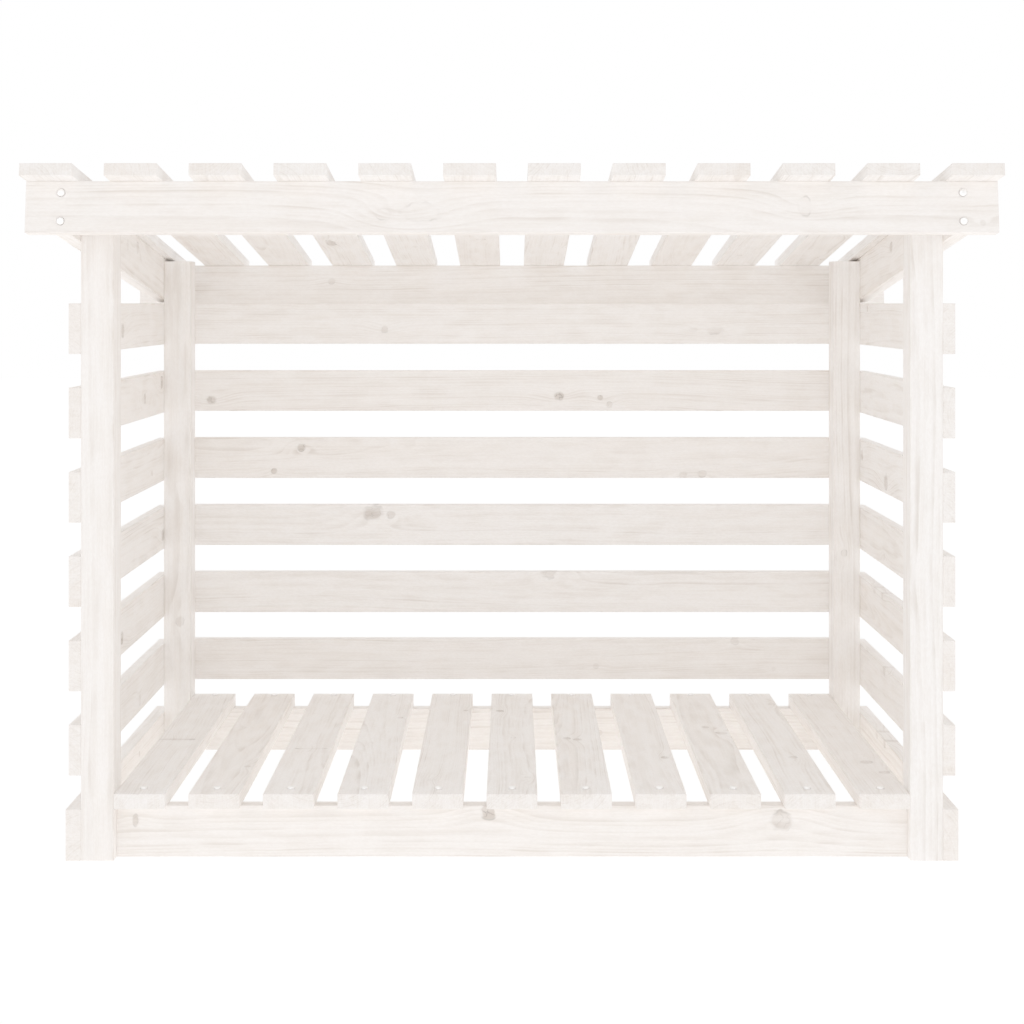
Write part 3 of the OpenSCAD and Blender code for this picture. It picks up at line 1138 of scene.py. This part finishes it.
class RACK_OT_studio(bpy.types.Operator):
    """Pale floor, soft light and camera"""

    bl_idname = "rack.studio"
    bl_label = "Studio"

    def execute(self, context):
        studio = context.scene.rack_studio
        self.lay_floor(studio)
        self.light(context.scene, studio)
        self.set_camera(context.scene, studio)
        context.scene.cycles.diffuse_bounces = studio.bounces
        context.scene.view_settings.view_transform = "Standard"
        return {"FINISHED"}

    def lay_floor(self, studio):
        """A round pale floor, which the camera sees almost white."""
        form, radius = bmesh.new(), studio.floor_radius
        bmesh.ops.create_circle(form, cap_ends=True, segments=96, radius=radius)
        floor = to_object(form, "studio_floor")
        material = bpy.data.materials.new("studio_floor")
        material.use_nodes = True
        n = Nodes(material.node_tree)
        shader = material.node_tree.nodes["Principled BSDF"]
        shader.inputs["Roughness"].default_value = 0.9
        shader.inputs["Specular IOR Level"].default_value = 0
        shader.inputs["Emission Color"].default_value = (1, 1, 1, 1)
        seen = n.add("ShaderNodeLightPath").outputs["Is Camera Ray"]
        dimmed = [channel * studio.floor_shadow for channel in studio.floor]
        colour = n.blend(seen, (*studio.floor, 1), (*dimmed, 1))
        n.feed(shader.inputs["Base Color"], colour)
        white = FLOOR_WHITE - studio.floor_shadow
        strength = n.fade(seen, 0.0, 1.0, studio.floor_glow, white)
        n.feed(shader.inputs["Emission Strength"], strength)
        floor.data.materials.append(material)

    def light(self, scene, studio):
        """Soft light from all round, and a weak large lamp at the front."""
        world = scene.world or bpy.data.worlds.new("studio")
        scene.world = world
        world.use_nodes = True
        n = Nodes(world.node_tree)
        background = world.node_tree.nodes["Background"]
        path = n.add("ShaderNodeLightPath").outputs
        seen = n.math("MAXIMUM", path["Is Camera Ray"], path["Is Glossy Ray"])
        seen = n.math("MAXIMUM", seen, path["Is Transmission Ray"])
        colour = n.blend(seen, (*studio.tint, 1), (1, 1, 1, 1))
        n.feed(background.inputs["Color"], colour)
        strength = n.fade(seen, 0.0, 1.0, studio.surround, 1.0)
        n.feed(background.inputs["Strength"], strength)
        lamp = bpy.data.lights.new("studio_key", "AREA")
        lamp.energy = studio.key_power
        lamp.size = studio.key_size
        lamp.color = studio.tint
        key = bpy.data.objects.new("studio_key", lamp)
        scene.collection.objects.link(key)
        key.location = KEY_PLACE
        aim = KEY_AIM - KEY_PLACE
        key.rotation_euler = aim.to_track_quat("-Z", "Y").to_euler()

    def set_camera(self, scene, studio):
        """A level camera in front of the rack."""
        data = bpy.data.cameras.new("studio_camera")
        data.lens = studio.lens
        data.shift_y = studio.shift
        camera = bpy.data.objects.new("studio_camera", data)
        scene.collection.objects.link(camera)
        post_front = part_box("front_post_left")[0].y
        camera.location = (0, post_front - studio.eye_distance, studio.eye_height)
        camera.rotation_euler = (math.pi / 2, 0, 0)
        scene.camera = camera


BUILDERS = (
    RACK_OT_posts,
    RACK_OT_lower_rails,
    RACK_OT_side_lower_rails,
    RACK_OT_floor_slats,
    RACK_OT_back_slats,
    RACK_OT_side_slats,
    RACK_OT_fascias,
    RACK_OT_roof_side_rails,
    RACK_OT_roof_slats,
    RACK_OT_screws,
    RACK_OT_studio,
)

SETTINGS = {
    "rack_boards": RackBoards,
    "rack_screws": RackScrews,
    "rack_pine": RackPine,
    "rack_zinc": RackZinc,
    "rack_studio": RackStudio,
}


class RACK_PT_panel(bpy.types.Panel):
    """Builders and sizes of the rack"""

    bl_idname = "RACK_PT_panel"
    bl_label = "Firewood rack"
    bl_space_type = "VIEW_3D"
    bl_region_type = "UI"
    bl_category = "Rack"

    def draw(self, context):
        for builder in BUILDERS:
            self.layout.operator(builder.bl_idname)
        for name, kind in SETTINGS.items():
            box = self.layout.box()
            box.label(text=kind.__doc__)
            for setting in kind.__annotations__:
                box.prop(getattr(context.scene, name), setting)


def register():
    for kind in (*SETTINGS.values(), *BUILDERS, RACK_PT_panel):
        bpy.utils.register_class(kind)
    for name, kind in SETTINGS.items():
        setattr(bpy.types.Scene, name, PointerProperty(type=kind))


def unregister():
    for name in SETTINGS:
        delattr(bpy.types.Scene, name)
    for kind in (RACK_PT_panel, *reversed(BUILDERS), *reversed(SETTINGS.values())):
        bpy.utils.unregister_class(kind)


def main():
    register()
    for builder in BUILDERS:
        category, name = builder.bl_idname.split(".")
        getattr(getattr(bpy.ops, category), name)()


if __name__ == "__main__":
    main()
